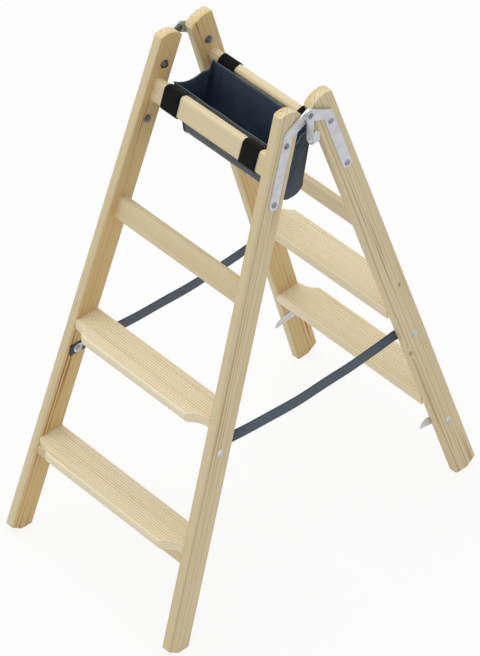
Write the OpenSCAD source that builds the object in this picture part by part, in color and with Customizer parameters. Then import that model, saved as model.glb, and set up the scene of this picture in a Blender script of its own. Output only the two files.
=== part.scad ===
// Wooden trestle ladder with two leaning ladders, grooved steps, folding hinges, a fabric bag
// and a bucket hook. Millimetres. X runs along the steps, Y from front to back, Z up.
// The ladder stands open on the floor, Z = 0, with its pivot axis above the origin.
// Each ladder is drawn in its own frame at the pivot: local Z runs up the stiles, local -Y outward.

/* [Ladders] */
// Height of the pivot axis above the floor
pivot_height = 1098.3; // [1065:0.1:1135]
// Lean of each ladder from upright, in degrees
lean = 18; // [16.5:0.5:19]
// Distance of each ladder's inner plane from the pivot axis
inner_offset = 11.4; // [10.5:0.1:13]
// Half of the outside width at the pivot
half_width = 176.7; // [170:0.1:190]
// Outward splay of the stiles per unit of length
splay = 0.0627; // [0.055:0.001:0.068]

/* [Stiles] */
// Depth of a stile from its inner to its outer edge
stile_depth = 57; // [54:1:60]
// Thickness of a stile
stile_thick = 21.6; // [20:0.1:24]
// Edge rounding of a stile
stile_round = 4; // [2:0.5:6]
// Height of a stile's shoulders above the pivot, below its rounded top end
stile_shoulder = -2; // [-4:0.5:2]
// Rise of the rounded top end of a stile
top_rise = 10.4; // [8:0.2:14]
// Share of the foot that stands flat on the floor
foot_share = 0.49; // [0.4:0.01:0.6]
// Height of the bevel at the foot
foot_bevel = 18.3; // [12:0.5:22]
// Depth of the tenons in the stiles
tenon = 9; // [6:1:12]

/* [Steps] */
// Height of the lower step's top
lower_step_z = 234; // [220:1:245]
// Height of the upper step's top
upper_step_z = 504; // [490:1:512]
// Depth of a step from back to nose
step_depth = 83; // [80:1:86]
// Thickness of a step
step_thick = 22; // [20:1:24]
// Edge rounding of a step
step_round = 5; // [3:0.5:6]
// Number of grooves in a step
groove_count = 13; // [9:1:13]
// Distance from groove to groove
groove_pitch = 5.7; // [5:0.1:5.8]
// Width of a groove at the surface
groove_width = 3; // [2.4:0.1:3.4]
// Depth of a groove
groove_depth = 1.2; // [0.8:0.1:1.6]
// Radius of the hollow at each end of a nose
notch_radius = 53; // [50:1:56]
// Height of the batten under a lower step
batten_height = 20; // [15:1:24]
// Depth of the batten under a lower step
batten_depth = 25; // [20:1:30]
// Distance of the batten from the nose's front
batten_back = 17; // [15:1:20]

/* [Slats] */
// Distance down the stile from the pivot to the top slat's upper edge
top_slat_at = 93.5; // [88:0.5:97]
// Height of a top slat
top_slat_height = 48; // [44:1:50]
// Thickness of a top slat
top_slat_thick = 20.5; // [19:0.5:21]
// Edge rounding of a top slat
top_slat_round = 7; // [5:0.5:8]
// Distance down the stile from the pivot to the brace's upper edge
brace_at = 360; // [350:1:370]
// Height of a brace
brace_height = 49; // [45:1:52]
// Thickness of a brace
brace_thick = 18; // [16:1:20]
// Edge rounding of a brace
brace_round = 4; // [3:0.5:5]

/* [Hinges] */
// Width of a hinge plate
plate_width = 23.5; // [22:0.5:25]
// Thickness of a hinge plate
plate_thick = 3; // [2.8:0.1:3.2]
// Distance down the stile to the upper hinge bolt
bolt_upper = 60; // [58:1:63]
// Distance down the stile to the lower hinge bolt
bolt_lower = 182; // [177:1:187]
// Distance down the stile to the bend of a hinge plate
plate_bend = 38.7; // [38:0.1:42]
// Diameter of the pivot rivet
rivet_diameter = 8; // [7:0.5:9]
// Running gap between the parts on the pivot rivet
side_gap = 0.3; // [0.25:0.05:0.4]

/* [Bucket hook] */
// Width of the hook's strip
hook_width = 16.5; // [15.5:0.5:18]
// Thickness of the hook's strip
hook_thick = 2.5; // [2.2:0.1:3]
// Depth of the hook's bottom below the pivot
hook_drop = 58.5; // [54:0.5:60.5]
// Clear gap of the hook
hook_gap = 14; // [13:0.5:18]
// Depth of the hook's tip below the pivot
hook_tip = 28; // [25:0.5:31]

/* [Safety straps] */
// Distance down the stile to the strap bolts
strap_bolt = 716; // [709:1:723]
// Width of the webbing
strap_width = 26.5; // [24:0.5:30]
// Thickness of the webbing
strap_thick = 1.6; // [1.4:0.1:2]
// Sag of the right strap
strap_sag_r = 13; // [8:1:26]
// Sag of the left strap
strap_sag_l = 15; // [8:1:26]
// Length of webbing beyond each bolt
strap_tail = 19; // [16:1:21]

/* [Closing clips] */
// Distance down the rear stile to the clip bolts
clip_bolt = 1006; // [1001:1:1013]
// Width of a clip
clip_width = 20; // [18:1:22]
// Thickness of a clip
clip_thick = 1.2; // [1:0.1:1.5]
// Upward turn of the right clip from square to the stile, in degrees
clip_turn_r = 25; // [5:1:30]
// Upward turn of the left clip from square to the stile, in degrees
clip_turn_l = 14; // [5:1:30]
// Length of a clip from its bolt to the point of its claw
clip_length = 58; // [50:1:60]
// Distance from a clip's bolt to the small hole in it
clip_hole_at = 17; // [15:1:24]

/* [Bag] */
// Gap from the bag's ends to the stiles' inner faces
bag_end_gap = 23; // [21:0.5:29]
// Gap from the top slats to the bag's rim
bag_gap = 7; // [6:0.5:9]
// Height of the rim above the top slats' back edges
bag_rise = 2; // [0:0.5:4]
// Height of the bag
bag_height = 145; // [130:1:155]
// Half of the bag's width at its bottom
bag_bottom = 29; // [26:1:31]
// Rounding of the bag's bottom edges
bag_round = 20; // [16:1:22]
// Wall of the bag
bag_wall = 2; // [1.6:0.1:2.4]
// Sag of the bag's right end
bag_sag_r = 25; // [15:1:28]
// Sag of the bag's left end
bag_sag_l = 14; // [10:1:20]
// Radius of the piping round the rim
piping = 2; // [1.5:0.1:2.5]
// Width of a bag loop
loop_width = 44; // [40:1:46]
// Distance of a loop's middle from the bag's end
loop_inset = 28; // [26:1:32]
// Thickness of a bag loop
loop_thick = 2.4; // [2:0.1:3]

/* [Hidden] */
splay_angle = atan(splay);
outer_n = inner_offset + stile_depth;
centre_n = inner_offset + stile_depth / 2;
top_radius = (stile_depth * stile_depth / 4 + top_rise * top_rise) / (2 * top_rise);
top_centre = stile_shoulder + top_rise - top_radius;
stile_length = pivot_height / cos(lean) + 90;
// Lengths that reach past the whole ladder, for cutting
wide = 2 * (half_width + splay * stile_length) + 100;
deep = 4 * (outer_n + step_depth);
bag_half_length = inner_x(-top_slat_at) - bag_end_gap;
loop_at = bag_half_length - loop_inset;
bore_gap = 0.1;
// Gap between a strap and the stile or the nut beside it
strap_gap = 0.05;
// Gap between a clip and its stile
clip_gap = 0.2;
// Radius of the small hole in a clip
clip_hole = 1.6;
// Gap between the bag's wall and its piping
seam_gap = 0.3;
bolt_radius = 3;
// The eyes stand a little proud of the strip between them, so that their arcs cross its edges
eye_radius = plate_width / 2 + 0.15;
bolt_n = centre_n;
arm_x = half_width + splay * plate_bend;
plate_x = plate_thick / cos(splay_angle);
rear_arm_x = arm_x + plate_x + side_gap;
hook_x = rear_arm_x + plate_x + side_gap;
rivet_radius = rivet_diameter / 2;
hook_eye = hook_width / 2;
hook_bend = hook_gap / 2;
hook_centre_z = -hook_drop + hook_thick + hook_bend;
head_radius = 6.5;
head_height = 4;
wide_radius = 8.5;
pivot_head = 6.5;
washer_thick = 1.5;
nut_height = 5;
// The top slat's edge nearest the bag, in the world's frame
slat_n = centre_n - top_slat_thick / 2;
brace_n = centre_n - brace_thick / 2;
slat_back_y = -at_y(-top_slat_at - 3, slat_n);
slat_back_z = at_z(-top_slat_at - 3, slat_n);
rim_y = slat_back_y - bag_gap;
rim_z = slat_back_z + bag_rise;
floor_z = rim_z - bag_height;
// The webbing lies in a plane that leans with the stiles' inner faces
strap_w = -strap_bolt - stile_thick * sin(splay_angle);
strap_y = -at_y(strap_w, bolt_n);
strap_z = at_z(strap_w, bolt_n);
strap_x = inner_x(strap_w) - strap_gap;
strap_tilt = atan(splay * cos(lean));
strap_slope = splay * sin(lean) * cos(strap_tilt);
strap_edge = -at_y(-strap_bolt, inner_offset) - 8;
// Depth of the strap nut's seat below the stile's outer face
strap_seat = stile_thick + strap_thick + 2 * strap_gap;
fine = 48;
small = 48;
// World position of a point of the front ladder: w along the stile, n outward from the pivot plane
function at_y(w, n) = w * sin(lean) - n * cos(lean);
function at_z(w, n) = pivot_height + w * cos(lean) + n * sin(lean);
// Position along the stile of the height z, at the distance n
function at_w(z, n) = (z - pivot_height - n * sin(lean)) / cos(lean);
// Distance of a stile's outer and inner face from the ladder's middle
function outer_x(w) = half_width - splay * w;
function inner_x(w) = outer_x(w) - stile_thick / cos(splay_angle);

// Frames
module front() { translate([0, 0, pivot_height]) rotate([-lean, 0, 0]) children(); }
module back() { mirror([0, 1, 0]) children(); }
module left() { mirror([1, 0, 0]) children(); }
// The right stile's own frame: X across its outer face, Z along it
module board() { translate([half_width, 0, 0]) rotate([0, -splay_angle, 0]) children(); }
// A bolt's place on the right stile: X points out of the stile
module on_board(w, n) { board() translate([0, -n, w / cos(splay_angle)]) children(); }
module along_x(length) { rotate([90, 0, 90]) linear_extrude(height = length) children(); }
module rod_x(radius, length, sides) { rotate([0, 90, 0]) cylinder(r = radius, h = length, $fn = sides); }

// A rectangle with round corners, from its lower left corner
module soft_square(width, height, radius) {
    translate([radius, 0]) square([width - 2 * radius, height]);
    translate([0, radius]) square([width, height - 2 * radius]);
    for (x = [radius, width - radius], y = [radius, height - radius])
        translate([x, y]) circle(r = radius, $fn = 24);
}

// The room between the stiles' inner faces, widened by extra on each side, in the ladder's frame
module between_stiles(extra) {
    low = -stile_length;
    high = 20;
    rotate([90, 0, 0]) linear_extrude(height = deep, center = true)
        polygon([[inner_x(low) + extra, low], [inner_x(high) + extra, high],
            [-inner_x(high) - extra, high], [-inner_x(low) - extra, low]]);
}

// Steps
module step_tenons(z) {
    back_y = at_y(at_w(z, inner_offset), inner_offset);
    intersection() {
        translate([-wide / 2, back_y - stile_depth * 0.77, z - step_thick + 4])
            cube([wide, stile_depth * 0.7, step_thick - 8]);
        front() between_stiles(tenon);
    }
}

module step_grooves(z, back_y) {
    first = back_y - (step_depth - groove_pitch * (groove_count - 1)) / 2;
    for (i = [0:groove_count - 1])
        translate([-wide / 2, first - i * groove_pitch, z])
            along_x(wide) polygon([[-groove_width / 2, 0.5], [-groove_width / 2, 0],
                [-groove_width / 4, -groove_depth], [groove_width / 4, -groove_depth],
                [groove_width / 2, 0], [groove_width / 2, 0.5]]);
}

module step(z) {
    back_y = at_y(at_w(z, inner_offset), inner_offset);
    edge_w = at_w(z, outer_n);
    edge_y = at_y(edge_w, outer_n);
    difference() {
        intersection() {
            translate([-wide / 2, back_y - step_depth, z - step_thick])
                along_x(wide) soft_square(step_depth, step_thick, step_round);
            front() between_stiles(0);
        }
        step_grooves(z, back_y);
        for (s = [-1, 1])
            translate([s * inner_x(edge_w), edge_y - notch_radius, z - step_thick - 1])
                cylinder(r = notch_radius, h = step_thick + 2, $fn = 96);
    }
    step_tenons(z);
}

// The batten that stiffens a lower step, glued under it between the stiles
module step_batten(z) {
    back_y = at_y(at_w(z, inner_offset), inner_offset);
    front_y = back_y - step_depth + batten_back;
    intersection() {
        translate([-wide / 2, front_y, z - step_thick - batten_height])
            along_x(wide) difference() {
                soft_square(batten_depth, batten_height + step_round, 3);
                translate([-1, batten_height]) square([batten_depth + 2, 2 * step_round]);
            }
        front() between_stiles(0);
    }
}

// Slats
module slat_tenons(top, height, near_n, thick) {
    intersection() {
        translate([-wide / 2, -near_n - thick + 4, -top - height + 7])
            cube([wide, thick - 8, height - 14]);
        between_stiles(tenon);
    }
}

module slat(top, height, near_n, thick, radius) {
    intersection() {
        translate([-wide / 2, -near_n - thick, -top - height])
            along_x(wide) soft_square(thick, height, radius);
        between_stiles(0);
    }
    slat_tenons(top, height, near_n, thick);
}

module top_slat() { front() slat(top_slat_at, top_slat_height, slat_n, top_slat_thick, top_slat_round); }
module brace() { front() slat(brace_at, brace_height, brace_n, brace_thick, brace_round); }

// Stiles
module stile_board() {
    intersection() {
        board() translate([-stile_thick, -outer_n, -stile_length])
            linear_extrude(height = stile_length + 60) soft_square(stile_thick, stile_depth, stile_round);
        union() {
            translate([0, -centre_n, top_centre]) rod_x(top_radius, wide, 96);
            translate([0, -outer_n - 1, -stile_length - 50])
                cube([wide, stile_depth + 2, stile_length + 50 + top_centre]);
        }
    }
}

module bore(w, n) {
    on_board(w, n) translate([-40, 0, 0]) rod_x(bolt_radius + bore_gap, 60, small);
}

module foot_cut() {
    inner_y = at_y(at_w(0, inner_offset), inner_offset);
    outer_y = at_y(at_w(0, outer_n), outer_n);
    flat_y = inner_y + (outer_y - inner_y) * foot_share;
    bevel_y = at_y(at_w(foot_bevel, outer_n), outer_n);
    translate([0, inner_y - deep, -deep]) cube([wide, 2 * deep, deep]);
    translate([0, flat_y, 0]) rotate([-atan(foot_bevel / (flat_y - bevel_y)), 0, 0])
        translate([0, -stile_depth * 2, -stile_depth]) cube([wide, stile_depth * 2, stile_depth]);
}

module stile(with_clip) {
    difference() {
        front() stile_board();
        foot_cut();
        step_tenons(lower_step_z);
        step_tenons(upper_step_z);
        front() {
            slat_tenons(top_slat_at, top_slat_height, slat_n, top_slat_thick);
            slat_tenons(brace_at, brace_height, brace_n, brace_thick);
            bore(-bolt_upper, bolt_n);
            bore(-bolt_lower, bolt_n);
            bore(-strap_bolt, bolt_n);
            if (with_clip) bore(-clip_bolt, bolt_n);
        }
    }
}

// Bolts and nuts, in the bolt's frame: X points out of the stile, X = 0 is the wood's outer face
module dome(radius, height) {
    ball = (radius * radius + height * height) / (2 * height);
    rotate([0, 90, 0]) rotate_extrude($fn = small) intersection() {
        translate([0, height - ball]) circle(r = ball, $fn = 96);
        square([radius, height + 1]);
    }
}

module bolt(seat, reach, radius, height) {
    translate([seat, 0, 0]) dome(radius, height);
    translate([seat - reach, 0, 0]) rod_x(bolt_radius, reach + 0.5, small);
}

// A hexagon nut on its washer; its inner side lies at X = seat and it grows inward
module nut(seat, washer_radius) {
    difference() {
        union() {
            translate([seat - washer_thick, 0, 0]) rod_x(washer_radius, washer_thick, small);
            translate([seat - washer_thick - nut_height, 0, 0]) rod_x(5.8, nut_height + 0.2, 6);
        }
        translate([seat - 20, 0, 0]) rod_x(bolt_radius + bore_gap, 30, small);
    }
}

module hinge_bolt(w) {
    front() on_board(-w, bolt_n)
        bolt(plate_thick, plate_thick + stile_thick + washer_thick + nut_height + 1, head_radius, head_height);
}
module hinge_nut(w) { front() on_board(-w, bolt_n) nut(-stile_thick, 9); }
module strap_bolt_piece() {
    front() on_board(-strap_bolt, bolt_n)
        bolt(0, strap_seat + washer_thick + nut_height + 1, wide_radius, 3.5);
}
module strap_nut() { front() on_board(-strap_bolt, bolt_n) nut(-strap_seat, 11); }
module clip_bolt_piece() {
    front() on_board(-clip_bolt, bolt_n)
        bolt(0, stile_thick + clip_gap + clip_thick + washer_thick + nut_height + 1, wide_radius, 3.5);
}
module clip_nut() { front() on_board(-clip_bolt, bolt_n) nut(-stile_thick - clip_gap - clip_thick, 7.5); }

// Hinge plates, in the ladder's frame; the arm stands square to the pivot axis
module plate_outline() {
    // The elbow lies just below the bend, so that no corner of the outline falls on the bend's line
    elbow = [-bolt_n, -plate_bend - 1.5];
    circle(r = eye_radius, $fn = fine);
    translate(elbow) circle(r = eye_radius, $fn = fine);
    translate([-bolt_n, -bolt_lower]) circle(r = eye_radius, $fn = fine);
    translate([-bolt_n - plate_width / 2, -bolt_lower]) square([plate_width, bolt_lower + elbow.y]);
    rotate(atan2(elbow.y, elbow.x)) translate([0, -plate_width / 2]) square([norm(elbow), plate_width]);
}

// The bent sheet that the outline is cut from: x against w
module plate_sheet(arm, crank) {
    low = -bolt_lower - 2 * eye_radius;
    bend_x = outer_x(-plate_bend);
    inner_bend = crank > 0 ? [[arm, -plate_bend + crank]] : [];
    outer_bend = crank > 0 ? [[arm + plate_x, -plate_bend + crank]] : [];
    rotate([90, 0, 0]) linear_extrude(height = deep, center = true)
        polygon(concat([[outer_x(low), low], [bend_x, -plate_bend]], inner_bend,
            [[arm, 40], [arm + plate_x, 40]], outer_bend,
            [[bend_x + plate_x, -plate_bend], [outer_x(low) + plate_x, low]]));
}

module plate(arm, crank) {
    front() difference() {
        intersection() {
            translate([half_width - 30, 0, 0]) along_x(80) plate_outline();
            plate_sheet(arm, crank);
        }
        translate([half_width - 30, 0, 0]) rod_x(rivet_radius + bore_gap, 80, small);
        bore(-bolt_upper, bolt_n);
        bore(-bolt_lower, bolt_n);
    }
}

module front_plate() { plate(arm_x, 0); }
module rear_plate() { plate(rear_arm_x, 14); }

// The pivot rivet: round inner head, shank and domed outer head
module rivet(outer) {
    translate([0, 0, pivot_height]) {
        translate([arm_x - 3.4, 0, 0]) rod_x(pivot_head, 3.4, small);
        translate([arm_x - 1, 0, 0]) rod_x(rivet_radius, outer - arm_x + 1.5, small);
        translate([outer, 0, 0]) dome(pivot_head, 3);
    }
}

// The bucket hook: a strip that hangs from the rivet and turns up outward
module hook_profile() {
    square_top = hook_eye + 2;
    translate([0, hook_centre_z]) square([hook_thick, square_top - hook_centre_z]);
    translate([hook_thick + hook_gap, hook_centre_z]) square([hook_thick, -hook_tip - hook_centre_z]);
    translate([hook_thick + hook_bend, hook_centre_z]) difference() {
        circle(r = hook_bend + hook_thick, $fn = fine);
        circle(r = hook_bend, $fn = fine);
        translate([-50, 0]) square([100, 50]);
    }
}

module hook_face() {
    circle(r = hook_eye, $fn = fine);
    translate([-hook_eye, -hook_drop - 5]) square([hook_width, hook_drop + 5]);
}

module hook_tip_face() {
    translate([0, -hook_tip - hook_eye]) circle(r = hook_eye, $fn = fine);
    translate([-hook_eye, -hook_drop - 5]) square([hook_width, hook_drop + 5 - hook_tip - hook_eye]);
}

module bucket_hook() {
    split = hook_thick + hook_bend;
    translate([hook_x, 0, pivot_height]) difference() {
        intersection() {
            rotate([90, 0, 0]) linear_extrude(height = 60, center = true) hook_profile();
            union() {
                translate([-1, 0, 0]) along_x(split + 1) hook_face();
                translate([split - 0.01, 0, 0]) along_x(60) hook_tip_face();
            }
        }
        translate([-10, 0, 0]) rod_x(rivet_radius + bore_gap, 10 + split, small);
    }
}

// A safety strap on the right stiles, seen from the side: a sagging band
module strap(sag) {
    steps = 24;
    end = strap_y + strap_tail;
    span = strap_edge;
    function mid(y) = abs(y) > span ? 0 : sag * (y * y / (span * span) - 1);
    line = [for (i = [0:steps]) -span + 2 * span * i / steps];
    ys = concat([-end], line, [end]);
    upper = [for (y = ys) [y, mid(y) + strap_width / 2]];
    lower = [for (i = [len(ys) - 1:-1:0]) [ys[i], mid(ys[i]) - strap_width / 2]];
    slack = strap_slope * (strap_y - span);
    out = strap_slope * (end - strap_y);
    translate([strap_x, 0, strap_z]) rotate([0, -strap_tilt, 0]) difference() {
        intersection() {
            translate([-20, 0, 0]) along_x(40) polygon(concat(upper, lower));
            linear_extrude(height = 8 * strap_width, center = true)
                polygon([[out, -end], [-slack, -span], [-slack, span], [out, end],
                    [out - strap_thick, end], [-slack - strap_thick, span],
                    [-slack - strap_thick, -span], [out - strap_thick, -end]]);
        }
        for (s = [-1, 1])
            translate([-30, s * strap_y, 0]) rod_x(bolt_radius + 0.3, 60, small);
    }
}

// A clip's outline from its bolt to the point of its claw
module clip_outline() {
    claw = [clip_length - clip_width, -clip_width / 2];
    circle(r = clip_width / 2, $fn = fine);
    translate([0, -clip_width / 2]) square([claw.x, clip_width]);
    intersection() {
        translate(claw) circle(r = clip_width, $fn = 96);
        translate([claw.x - 1, claw.y]) square(clip_width + 2);
    }
}

// A closing clip on a rear stile's inner face, drawn for the front right stile and mirrored
module clip(turn) {
    front() on_board(-clip_bolt, bolt_n) rotate([turn, 0, 0]) difference() {
        translate([-stile_thick - clip_gap - clip_thick, 0, 0]) along_x(clip_thick) clip_outline();
        translate([-60, 0, 0]) rod_x(bolt_radius + bore_gap, 80, small);
        translate([-60, clip_hole_at, 0]) rod_x(clip_hole, 80, small);
    }
}

// Bag: a trough with sagging ends
module bag_section(inset) {
    hull() {
        for (s = [-1, 1]) {
            translate([s * (bag_bottom - bag_round), floor_z + bag_round])
                circle(r = bag_round - inset, $fn = 32);
            translate([s * (rim_y - inset - 0.5), rim_z + (inset > 0 ? 5 : -piping)])
                circle(r = 0.5, $fn = 12);
        }
    }
}

function sag_radius(sag) = (rim_y * rim_y + sag * sag) / (2 * sag);

module end_dip(sag) {
    radius = sag_radius(sag);
    translate([0, 0, rim_z + radius - sag]) rod_x(radius + piping / 2, 40, 128);
}

module bag() {
    difference() {
        translate([-bag_half_length, 0, 0]) along_x(2 * bag_half_length) bag_section(0);
        translate([-bag_half_length + bag_wall, 0, 0])
            along_x(2 * (bag_half_length - bag_wall)) bag_section(bag_wall);
        translate([bag_half_length - bag_wall - 1, 0, 0]) end_dip(bag_sag_r);
        translate([-bag_half_length + bag_wall + 1, 0, 0]) left() end_dip(bag_sag_l);
        rim_tube(piping + seam_gap);
    }
}

module end_tube(sag, thick) {
    radius = sag_radius(sag);
    spread = asin(rim_y / radius);
    translate([bag_half_length - bag_wall / 2, 0, rim_z + radius - sag])
        rotate([90, 0, 90]) rotate([0, 0, -90 - spread])
            rotate_extrude(angle = 2 * spread, $fn = 128) translate([radius, 0]) circle(r = thick, $fn = 16);
}

// The piping's path round the rim, as a tube of any thickness
module rim_tube(thick) {
    for (s = [-1, 1]) {
        translate([-bag_half_length + bag_wall / 2, s * rim_y, rim_z])
            rod_x(thick, 2 * bag_half_length - bag_wall, 16);
        for (e = [-1, 1])
            translate([e * (bag_half_length - bag_wall / 2), s * rim_y, rim_z]) sphere(r = thick, $fn = 16);
    }
    end_tube(bag_sag_r, thick);
    left() end_tube(bag_sag_l, thick);
}

// A bag loop round the front top slat, drawn in the ladder's frame
module loop_outline(grow, toward) {
    inset = top_slat_round;
    hull() {
        for (n = [slat_n + inset, slat_n + top_slat_thick - inset],
                w = [-top_slat_at - inset, -top_slat_at - top_slat_height + inset])
            translate([-n, w]) circle(r = inset + grow, $fn = 32);
        translate(toward) circle(r = grow + 0.4, $fn = 16);
    }
}

module bag_loop() {
    // The point on the bag's front wall that the loop is sewn to, in the ladder's frame
    y = -rim_y + 0.16 * 14;
    z = rim_z - 14 - pivot_height;
    reach = -loop_thick - 1.1;
    spot = [(y + reach) * cos(lean) - z * sin(lean), (y + reach) * sin(lean) + z * cos(lean)];
    front() translate([loop_at - loop_width / 2, 0, 0]) along_x(loop_width) difference() {
        loop_outline(0.2 + loop_thick, spot);
        loop_outline(0.2, spot);
    }
}

wood = [0.88, 0.78, 0.58];
pale = [0.90, 0.82, 0.66];
steel = [0.70, 0.71, 0.76];
zinc = [0.62, 0.63, 0.68];
slate = [0.30, 0.34, 0.39];
navy = [0.16, 0.20, 0.27];
black = [0.08, 0.08, 0.09];

module front_stile_l() { color(wood) left() stile(false); }
module front_stile_r() { color(wood) stile(false); }
module rear_stile_l() { color(wood) back() left() stile(true); }
module rear_stile_r() { color(wood) back() stile(true); }
module front_step_lower() { color(pale) step(lower_step_z); }
module front_step_upper() { color(pale) step(upper_step_z); }
module rear_step_lower() { color(pale) back() step(lower_step_z); }
module rear_step_upper() { color(pale) back() step(upper_step_z); }
module front_step_batten() { color(pale) step_batten(lower_step_z); }
module rear_step_batten() { color(pale) back() step_batten(lower_step_z); }
module front_brace() { color(pale) brace(); }
module rear_brace() { color(pale) back() brace(); }
module front_top_slat() { color(pale) top_slat(); }
module rear_top_slat() { color(pale) back() top_slat(); }
module front_plate_l() { color(steel) left() front_plate(); }
module front_plate_r() { color(steel) front_plate(); }
module rear_plate_l() { color(steel) back() left() rear_plate(); }
module rear_plate_r() { color(steel) back() rear_plate(); }
module front_upper_bolt_l() { color(zinc) left() hinge_bolt(bolt_upper); }
module front_upper_bolt_r() { color(zinc) hinge_bolt(bolt_upper); }
module front_lower_bolt_l() { color(zinc) left() hinge_bolt(bolt_lower); }
module front_lower_bolt_r() { color(zinc) hinge_bolt(bolt_lower); }
module rear_upper_bolt_l() { color(zinc) back() left() hinge_bolt(bolt_upper); }
module rear_upper_bolt_r() { color(zinc) back() hinge_bolt(bolt_upper); }
module rear_lower_bolt_l() { color(zinc) back() left() hinge_bolt(bolt_lower); }
module rear_lower_bolt_r() { color(zinc) back() hinge_bolt(bolt_lower); }
module front_upper_nut_l() { color(zinc) left() hinge_nut(bolt_upper); }
module front_upper_nut_r() { color(zinc) hinge_nut(bolt_upper); }
module front_lower_nut_l() { color(zinc) left() hinge_nut(bolt_lower); }
module front_lower_nut_r() { color(zinc) hinge_nut(bolt_lower); }
module rear_upper_nut_l() { color(zinc) back() left() hinge_nut(bolt_upper); }
module rear_upper_nut_r() { color(zinc) back() hinge_nut(bolt_upper); }
module rear_lower_nut_l() { color(zinc) back() left() hinge_nut(bolt_lower); }
module rear_lower_nut_r() { color(zinc) back() hinge_nut(bolt_lower); }
module pivot_rivet_l() { color(zinc) left() rivet(hook_x); }
module pivot_rivet_r() { color(zinc) rivet(hook_x + hook_thick + side_gap); }
module hook() { color(steel) bucket_hook(); }
module strap_r() { color(slate) strap(strap_sag_r); }
module strap_l() { color(slate) left() strap(strap_sag_l); }
module front_strap_bolt_l() { color(zinc) left() strap_bolt_piece(); }
module front_strap_bolt_r() { color(zinc) strap_bolt_piece(); }
module rear_strap_bolt_l() { color(zinc) back() left() strap_bolt_piece(); }
module rear_strap_bolt_r() { color(zinc) back() strap_bolt_piece(); }
module front_strap_nut_l() { color(zinc) left() strap_nut(); }
module front_strap_nut_r() { color(zinc) strap_nut(); }
module rear_strap_nut_l() { color(zinc) back() left() strap_nut(); }
module rear_strap_nut_r() { color(zinc) back() strap_nut(); }
module clip_l() { color(steel) back() left() clip(clip_turn_l); }
module clip_r() { color(steel) back() clip(clip_turn_r); }
module clip_bolt_l() { color(zinc) back() left() clip_bolt_piece(); }
module clip_bolt_r() { color(zinc) back() clip_bolt_piece(); }
module clip_nut_l() { color(zinc) back() left() clip_nut(); }
module clip_nut_r() { color(zinc) back() clip_nut(); }
module tool_bag() { color(navy) bag(); }
module bag_rim() { color(slate) rim_tube(piping); }
module front_loop_l() { color(black) left() bag_loop(); }
module front_loop_r() { color(black) bag_loop(); }
module rear_loop_l() { color(black) back() left() bag_loop(); }
module rear_loop_r() { color(black) back() bag_loop(); }

front_stile_l();
front_stile_r();
rear_stile_l();
rear_stile_r();
front_step_lower();
front_step_upper();
rear_step_lower();
rear_step_upper();
front_step_batten();
rear_step_batten();
front_brace();
rear_brace();
front_top_slat();
rear_top_slat();
front_plate_l();
front_plate_r();
rear_plate_l();
rear_plate_r();
front_upper_bolt_l();
front_upper_bolt_r();
front_lower_bolt_l();
front_lower_bolt_r();
rear_upper_bolt_l();
rear_upper_bolt_r();
rear_lower_bolt_l();
rear_lower_bolt_r();
front_upper_nut_l();
front_upper_nut_r();
front_lower_nut_l();
front_lower_nut_r();
rear_upper_nut_l();
rear_upper_nut_r();
rear_lower_nut_l();
rear_lower_nut_r();
pivot_rivet_l();
pivot_rivet_r();
hook();
strap_l();
strap_r();
front_strap_bolt_l();
front_strap_bolt_r();
rear_strap_bolt_l();
rear_strap_bolt_r();
front_strap_nut_l();
front_strap_nut_r();
rear_strap_nut_l();
rear_strap_nut_r();
clip_l();
clip_r();
clip_bolt_l();
clip_bolt_r();
clip_nut_l();
clip_nut_r();
tool_bag();
bag_rim();
front_loop_l();
front_loop_r();
rear_loop_l();
rear_loop_r();
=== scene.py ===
"""Looks of a wooden trestle ladder with grooved steps, steel hinges, safety straps and a fabric tool bag.

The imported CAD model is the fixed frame. This script dresses its boards and metal parts, and builds
the straps, the bag and the bag's loops that stand for the soft CAD solids. Lengths are in metres.
"""

from __future__ import annotations

import logging
import math

from dataclasses import dataclass, field
from enum import Enum
from itertools import accumulate
from typing import Any, Callable, Iterable, Sequence, Union

import bmesh
import bpy
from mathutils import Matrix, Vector, noise


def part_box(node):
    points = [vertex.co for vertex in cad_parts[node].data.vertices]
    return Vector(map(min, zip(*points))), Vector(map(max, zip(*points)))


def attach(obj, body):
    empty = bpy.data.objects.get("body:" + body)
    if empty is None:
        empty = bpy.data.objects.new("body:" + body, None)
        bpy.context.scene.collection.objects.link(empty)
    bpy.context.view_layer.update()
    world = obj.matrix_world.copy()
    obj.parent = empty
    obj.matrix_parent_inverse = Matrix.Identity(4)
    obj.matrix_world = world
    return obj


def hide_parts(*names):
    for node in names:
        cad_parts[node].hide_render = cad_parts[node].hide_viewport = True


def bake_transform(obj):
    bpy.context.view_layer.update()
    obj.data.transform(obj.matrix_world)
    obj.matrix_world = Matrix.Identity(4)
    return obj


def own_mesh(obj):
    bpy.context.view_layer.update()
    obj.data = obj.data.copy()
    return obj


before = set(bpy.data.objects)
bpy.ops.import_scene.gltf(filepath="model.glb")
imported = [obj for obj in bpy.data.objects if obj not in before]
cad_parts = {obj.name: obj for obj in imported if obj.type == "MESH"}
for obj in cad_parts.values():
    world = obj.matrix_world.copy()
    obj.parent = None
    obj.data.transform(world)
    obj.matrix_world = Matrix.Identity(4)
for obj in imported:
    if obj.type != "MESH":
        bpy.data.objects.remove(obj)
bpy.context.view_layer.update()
UV_NAME = "Cloth"
BUMP_STRENGTH = 0.6

logging.basicConfig(level=logging.INFO, format="%(name)s: %(message)s")
log = logging.getLogger("ladder")

Colour = tuple[float, float, float]
Point2 = tuple[float, float]
Grid = list[list[Vector]]
Material = bpy.types.Material
Object = bpy.types.Object


class Side(Enum):
    """Which stiles a piece belongs to, seen from the front ladder."""

    LEFT = -1
    RIGHT = 1

    @property
    def tag(self) -> str:
        """The side's ending in node names."""
        return "l" if self is Side.LEFT else "r"


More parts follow.
